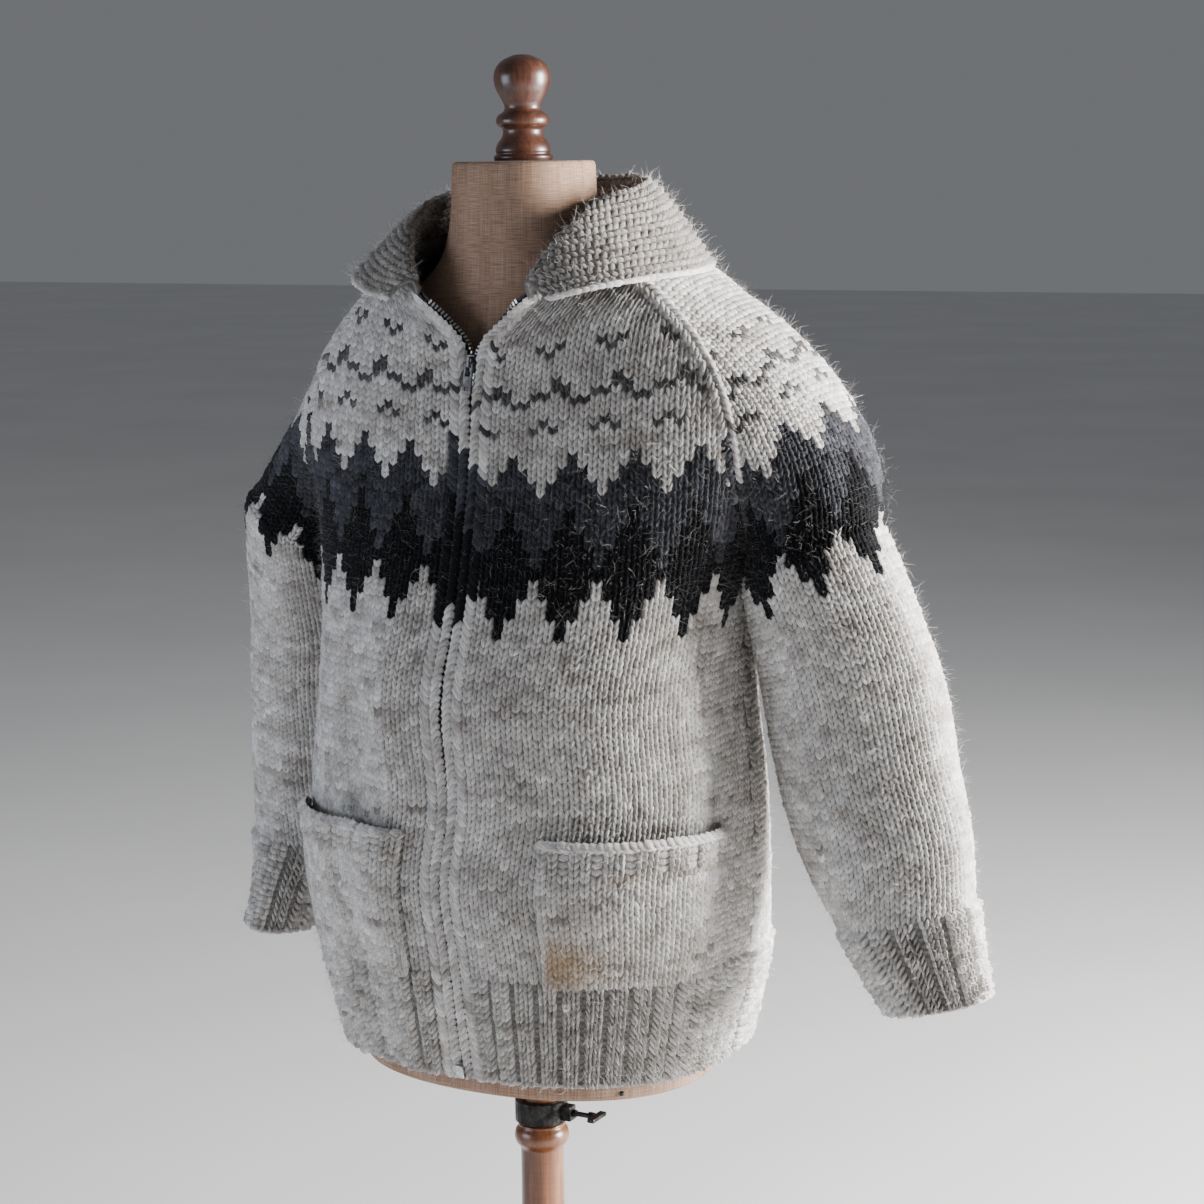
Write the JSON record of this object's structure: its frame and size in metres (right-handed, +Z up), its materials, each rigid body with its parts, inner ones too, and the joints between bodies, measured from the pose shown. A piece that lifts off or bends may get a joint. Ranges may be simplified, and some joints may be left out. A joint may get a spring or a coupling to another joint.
{
  "type": "cowichan sweater on a limbless dress form",
  "caption": "Bulky hand-knit zip cardigan with a spear-pattern yoke, fold-down collar and patch pockets, worn on a linen dress form with a turned wooden stand",
  "frame": {"origin": "on the floor, at the centre of the base's underside, under the post", "axes": "+Z up; the garment's front faces -Y; +X is the wearer's left"},
  "size_m": [0.7095, 0.3461, 1.226],
  "materials": {
    "wool": "bulky heathered grey-cream wool, hairy, matte",
    "zip_tape": "woven tape with metal teeth",
    "zip_metal": "dark worn metal",
    "linen": "plain-woven tan linen stretched on the form",
    "dark_wood": "turned, polished red-brown",
    "post_wood": "turned, waxed orange-brown",
    "clamp_iron": "blackened, worn at the edges"
  },
  "bodies": {
    "stand": {"base": "post_wood", "post": "post_wood"},
    "ring": {"clamp_ring": "clamp_iron"},
    "screw": {"clamp_screw": "clamp_iron"},
    "form": {"form_torso": "linen", "finial": "dark_wood", "front_left": "wool", "front_right": "wool", "back": "wool", "sleeve_left": "wool", "sleeve_right": "wool", "collar": "wool", "pocket_left": "wool", "pocket_right": "wool", "zip_tape_left": "zip_tape", "zip_tape_right": "zip_tape", "zip_slider": "zip_metal", "zip_box": "zip_metal"},
    "pull": {"zip_pull": "zip_metal"}
  },
  "joints": [
    {"name": "ring_height", "type": "slide", "parent": "stand", "child": "ring", "axis": [0, 0, 1], "range_m": [0, 0.036]},
    {"name": "screw_turn", "type": "hinge", "parent": "ring", "child": "screw", "pos_m": [0.0313, 0, 0.343], "axis": [1, 0, 0], "continuous": true},
    {"name": "form_turn", "type": "hinge", "parent": "stand", "child": "form", "pos_m": [0, 0, 0.5], "axis": [0, 0, 1], "continuous": true},
    {"name": "pull_swing", "type": "hinge", "parent": "form", "child": "pull", "pos_m": [0, -0.09199, 0.98548], "axis": [-1, 0, 0], "range_deg": [0, 150]}
  ]
}
